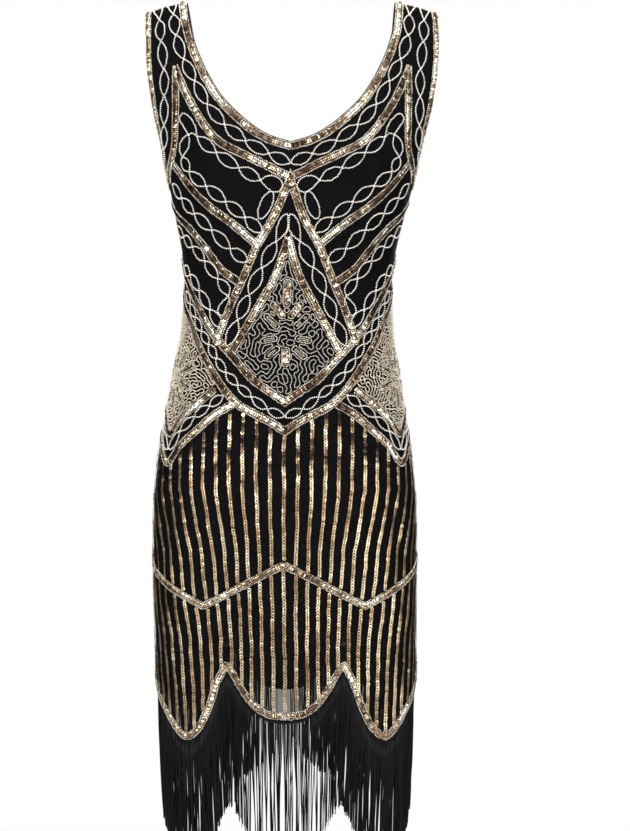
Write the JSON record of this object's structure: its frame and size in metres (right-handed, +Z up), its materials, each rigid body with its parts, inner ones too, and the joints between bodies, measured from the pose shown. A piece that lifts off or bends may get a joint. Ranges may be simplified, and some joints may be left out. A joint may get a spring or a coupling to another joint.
{
  "type": "flapper dress",
  "caption": "Sleeveless beaded sheath dress with V neck, sequin bands, striped skirt, scalloped hem and long fringe, shown in its worn form.",
  "frame": {"origin": "between the wearer's shoulders, level with the inner ends of the shoulder seams, where the shoulders hold the dress up", "axes": "+Z up, the wearer's front faces -Y, +X to the wearer's left"},
  "size_m": [0.3809, 0.2525, 1.1132],
  "materials": {
    "black_net": "matt see-through net",
    "black_lining": "smooth opaque lining",
    "black_fringe": "silky rayon strands",
    "gold_sequins": "glossy metallic sequins on cloth"
  },
  "bodies": {
    "root": {"armhole_trim_left": "gold_sequins", "armhole_trim_right": "gold_sequins", "back_lining": "black_lining", "back_panel": "black_net", "fringe_back": "black_fringe", "fringe_front": "black_fringe", "front_lining": "black_lining", "front_panel": "black_net", "hem_band_back": "gold_sequins", "hem_band_front": "gold_sequins", "neck_trim_back": "gold_sequins", "neck_trim_front": "gold_sequins", "zigzag_band_back": "gold_sequins", "zigzag_band_front": "gold_sequins"}
  },
  "joints": []
}
